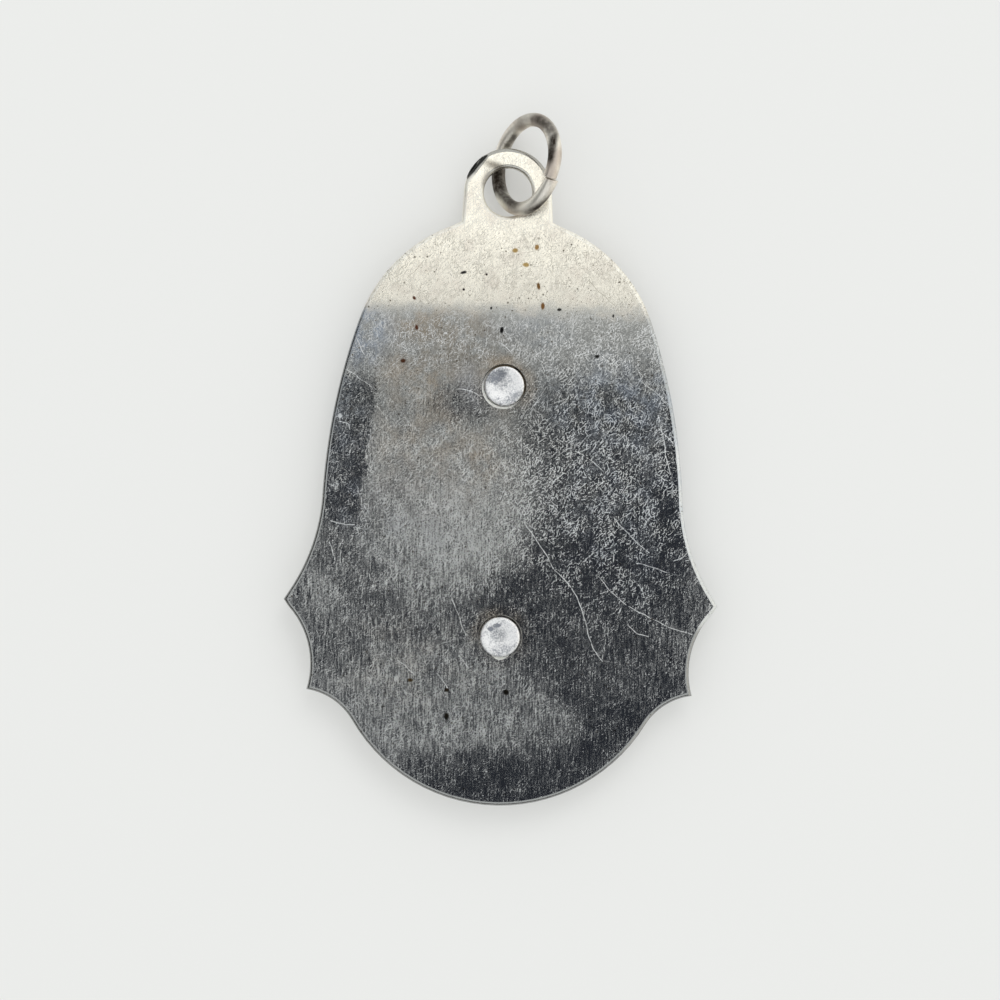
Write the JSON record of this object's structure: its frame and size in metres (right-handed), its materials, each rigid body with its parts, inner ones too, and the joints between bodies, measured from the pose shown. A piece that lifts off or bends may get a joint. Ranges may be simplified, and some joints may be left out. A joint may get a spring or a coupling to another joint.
{
  "type": "virgin mary pendant",
  "caption": "Stamped metal pendant plate with an eye and an open jump ring, and a cast relief of a praying veiled woman riveted to its front; it lies face down.",
  "frame": {"origin": "on the surface that the pendant lies on, under the middle of its overall width and length", "axes": "+Y up the pendant towards the eye and the jump ring, +Z out of the plain back of the plate, which faces up, +X to the right when the back is seen upright"},
  "size_m": [0.0304, 0.0486, 0.006],
  "materials": {
    "plate_metal": "worn polish on nickel silver, with fine scratches, haze, pits and tarnish",
    "cast_metal": "cast white metal, polished on its high places and dark in its hollows",
    "rivet_metal": "bright peened heads with a shallow dish",
    "ring_metal": "round wire, tarnished brown"
  },
  "bodies": {
    "root": {"back_plate": "plate_metal", "madonna_figure": "cast_metal", "rivet_upper": "rivet_metal", "rivet_lower": "rivet_metal", "jump_ring": "ring_metal"}
  },
  "joints": []
}
